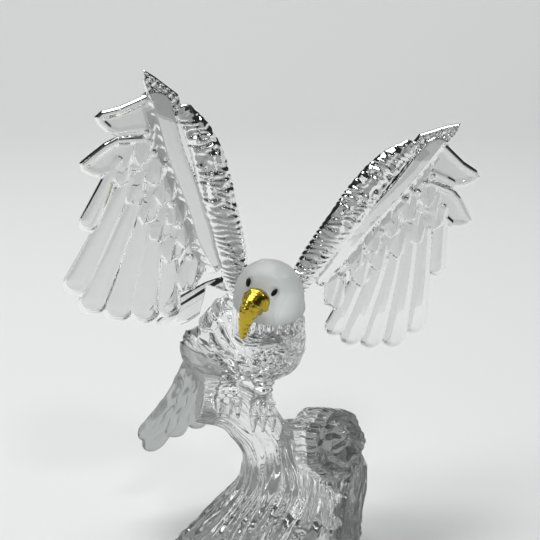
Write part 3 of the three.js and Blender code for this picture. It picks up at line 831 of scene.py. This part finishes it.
def tail_field(points):
    root, axes = tail_axes()
    level = (points - root) @ axes.T
    taper = np.clip(level[:, 1] / 9, -0.5, 1)
    rump = np.hypot(level[:, 0] / (8.5 - 2 * taper), level[:, 2] / (5.4 - 3.2 * taper))
    rump = np.maximum((rump - 1) * 3.5, np.abs(level[:, 1] - 2.5) - 6.5)
    end = np.maximum(back(points), tail_space(points, -GLUE_GAP / 2))
    end = np.maximum(end, -leg(points, 1, GLUE_GAP))
    result = smooth_union(np.minimum(tail_fan(level), rump), end, 0.3)
    return np.maximum(result, GLUE_GAP / 2 - below_seat(points))


def make_tail(light_frost):
    points, faces = mesh_points(tail_field, node_space("tail"), fine=0.38)
    make_piece("frosted_tail", points, faces, light_frost, "tail")


# The head and the neck, and the face's own place: X to the side, -Y out of the face, Z up.
def face_matrix():
    matrix = Matrix.Translation(HEAD_MIDDLE)
    for angle, axis in ((HEAD_TURN, "Z"), (HEAD_TILT, "Y"), (-HEAD_LIFT, "X")):
        matrix = matrix @ Matrix.Rotation(math.radians(angle), 4, axis)
    return matrix


def eye_matrix(side):
    """The place of the eye on one side of the face, -1 or 1."""
    matrix = Matrix.Rotation(math.radians(side * EYE_SIDE), 4, "Z")
    matrix = matrix @ Matrix.Rotation(-math.radians(EYE_UP), 4, "X")
    matrix = matrix @ Matrix.Translation((0, 0.1 - HEAD_RADIUS, 0))
    return matrix @ Matrix.Rotation(math.radians(side * EYE_SLANT), 4, "Y")


def head_field(points):
    skull = lengths(points - row(HEAD_MIDDLE)) - HEAD_RADIUS
    base, crown = row(NECK_BASE), row(NECK_CROWN)
    axis = crown - base
    t = (points - base) @ axis / (axis @ axis)
    side = lengths(points - base - t[:, None] * axis)
    neck = np.maximum(side - NECK_RADIUS * smooth_read(t, NECK_PLACES, NECK_SHARES), (t - 0.8) * 22)
    result = smooth_union(skull, neck, 2.5) + 0.25 * soft_facets(points)
    local = seen_from(points, face_matrix())
    for side in (-1, 1):
        socket = lengths(seen_from(local, eye_matrix(side)) / (row(EYE_HALF) + GLUE_GAP)) - 1
        result = np.maximum(result, -socket)
    result = -smooth_union(-result, local[:, 1] + FACE_OUT, 1.2)
    cut = (points - row(NECK_JOINT)) @ unit(NECK_NORMAL)
    return np.maximum(result, GLUE_GAP / 2 - cut)


def make_head(frost):
    points, faces = mesh_points(head_field, HEAD_SPACE, fine=0.4)
    make_piece("frosted_head", points, faces, frost, "head")


def beak_field(points):
    """The hooked beak, with its gape, a fold across it, a panel on top and fine rings at its tip."""
    local = seen_from(points, face_matrix())
    share, offset = nearest(local, spline(BEAK_PATH, 20))[:2]
    wide = along_list([BEAK_HALF_WIDTH, BEAK_HALF_WIDTH, 3.3, 2.2, 1.1], share)
    thick = along_list([BEAK_HALF_HEIGHT, BEAK_HALF_HEIGHT, 3.2, 2.2, 0.9], share)
    oval = np.hypot(offset[:, 0] / wide, np.hypot(offset[:, 1], offset[:, 2]) / thick)
    shape = (oval - 1) * np.minimum(wide, thick)
    rings = 0.07 * np.sin(90 * share) * (share > 0.74)
    gape = np.abs(local[:, 2] + 4.6 + 0.35 * (local[:, 1] - BEAK_ROOT))
    gape = 0.35 * np.clip(1 - gape / 0.45, 0, 1) * (share < 0.5)
    fold = 0.32 * np.clip(1 - np.abs(share - 0.3) / 0.035, 0, 1)
    side = np.abs(local[:, 0])
    panel = 0.3 * np.clip((1.6 - 2 * (share - 0.35) - side) / 0.4, 0, 1) * (share > 0.36) * (share < 0.68)
    dimples = 0.16 * np.sin(2.1 * local[:, 2] + 1.5 * local[:, 0]) * np.clip(side - 1.2, 0, 1)
    return np.maximum(shape + rings + gape + fold - panel + dimples + 0.1, local[:, 1] - BEAK_ROOT)


def make_beak(gold):
    points, faces = mesh_points(beak_field, node_space("beak"), fine=0.2)
    make_piece("gilt_beak", points, faces, gold, "beak")


# Materials.
def new_material(name, colour, grain, roughness, detail=4.0, **settings):
    """A shader with plain values, and a fine unevenness: grain is its scale to the metre and its strength."""
    material = bpy.data.materials.new(name)
    material.use_nodes = True
    tree = material.node_tree
    shader = tree.nodes["Principled BSDF"]
    shader.inputs["Base Color"].default_value = (*colour, 1)
    shader.inputs["Roughness"].default_value = roughness
    for key, value in settings.items():
        shader.inputs[key.replace("_", " ")].default_value = value
    place = tree.nodes.new("ShaderNodeTexCoord")
    noise = tree.nodes.new("ShaderNodeTexNoise")
    scale, strength = grain
    noise.inputs["Scale"].default_value = scale
    noise.inputs["Detail"].default_value = detail
    bump = tree.nodes.new("ShaderNodeBump")
    bump.inputs["Strength"].default_value = strength
    bump.inputs["Distance"].default_value = 0.0004
    tree.links.new(place.outputs["Object"], noise.inputs["Vector"])
    tree.links.new(noise.outputs["Fac"], bump.inputs["Height"])
    tree.links.new(bump.outputs["Normal"], shader.inputs["Normal"])
    return material


def crystal(name, shade):
    colour = (0.99 * shade, shade, shade)
    return new_material(name, colour, (160, 0.12), 0.01, detail=1.0, IOR=1.58, Transmission_Weight=1)


def frosted_crystal(name, shade, roughness, clearness):
    colour = (0.97 * shade, shade, 0.99 * shade)
    return new_material(name, colour, (2500, 0.15), roughness, IOR=1.45, Transmission_Weight=clearness)


# The stage: a pale bowl-shaped sweep and soft lights.
def make_stage():
    material = new_material("pale_sweep", (0.72, 0.73, 0.725), (60, 0.02), 0.9, Specular_IOR_Level=0.1)
    edge = FLOOR_RADII[-1]
    rings = [(radius, 0) for radius in FLOOR_RADII]
    for turn in np.linspace(0.1, math.pi / 2, 12):
        rings.append((edge + WALL_REACH * math.sin(turn), WALL_HEIGHT * (1 - math.cos(turn))))
    sides = SWEEP_SIDES
    turns = [2 * math.pi * k / sides for k in range(sides)]
    points = [(r * math.cos(turn), r * math.sin(turn), up) for r, up in rings for turn in turns]
    points.append((0, 0, 0))
    faces = [[len(points) - 1, (k + 1) % sides, k] for k in range(sides)]
    for start in range(0, (len(rings) - 1) * sides, sides):
        for k in range(sides):
            after = (k + 1) % sides
            faces.append([start + k, start + after, start + sides + after, start + sides + k])
    mesh = bpy.data.meshes.new("sweep")
    mesh.from_pydata(points, [], faces)
    mesh.polygons.foreach_set("use_smooth", np.full(len(faces), True))
    mesh.materials.append(material)
    sweep = bpy.data.objects.new("sweep", mesh)
    bpy.context.scene.collection.objects.link(sweep)


def add_light(name, place, target, size, power):
    data = bpy.data.lights.new(name, "AREA")
    data.shape = "RECTANGLE"
    data.size, data.size_y = size
    data.energy = power
    light = bpy.data.objects.new(name, data)
    light.location = place
    light.rotation_euler = (Vector(target) - Vector(place)).to_track_quat("-Z", "Y").to_euler()
    bpy.context.scene.collection.objects.link(light)


def make_lights():
    middle = (0, 0, 0.08)
    add_light("overhead", (-0.15, 0.15, 1.25), middle, (0.8, 0.8), 14)
    add_light("window", (-0.95, -0.5, 0.9), middle, (0.4, 0.4), 4.4)
    add_light("lamp", (0.25, -0.75, 0.95), middle, (0.12, 0.12), 1.6)
    add_light("back_light", (0, 0.9, 0.95), (0, 1, 0), (0.9, 0.3), 1.9)
    world = bpy.data.worlds.new("room")
    world.use_nodes = True
    background = world.node_tree.nodes["Background"]
    background.inputs["Color"].default_value = (0.5, 0.52, 0.52, 1)
    background.inputs["Strength"].default_value = 0.04
    bpy.context.scene.world = world


def make_camera():
    down = math.radians(VIEW_DOWN)
    towards = Vector((0, -math.cos(down), math.sin(down)))
    data = bpy.data.cameras.new("camera")
    data.lens = LENS
    data.sensor_width = SENSOR
    data.clip_start = 0.01
    camera = bpy.data.objects.new("camera", data)
    camera.location = (Vector(VIEW_TARGET) + towards * VIEW_DISTANCE) * MM
    camera.rotation_euler = (math.pi / 2 - down, 0, 0)
    bpy.context.scene.collection.objects.link(camera)
    bpy.context.scene.camera = camera


def main():
    make_camera()
    make_stage()
    make_lights()
    scene = bpy.context.scene
    scene.view_settings.view_transform = "Standard"
    scene.cycles.max_bounces = 24
    scene.cycles.transmission_bounces = 20
    scene.cycles.use_denoising = True
    # Painted shade: the wings' crystal is a little grey, with a much darker copy on the arm, the first finger
    # and the band beside the plain facet.
    make_wings(crystal("clear_crystal", 0.8), crystal("painted_shade_crystal", 0.42))
    bright = crystal("bright_crystal", 0.98)
    # Painted shade: the stub's end and the stump's right front take a near-black copy of the crystal.
    make_stump(bright, crystal("painted_deep_shade_crystal", 0.12))
    make_tail(frosted_crystal("lightly_frosted_crystal", 0.62, 0.2, 0.9))
    make_head(frosted_crystal("frosted_crystal", 0.78, 0.48, 0.65))
    make_body(bright)
    make_beak(new_material("gilt", (0.55, 0.41, 0.045), (900, 0.12), 0.24, Metallic=1))
    jet = new_material("jet", (0.002, 0.002, 0.002), (900, 0.03), 0.4, Specular_IOR_Level=0.2)
    for name in ("eye_left", "eye_right"):
        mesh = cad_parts[name].data
        mesh.materials.clear()
        mesh.materials.append(jet)


main()
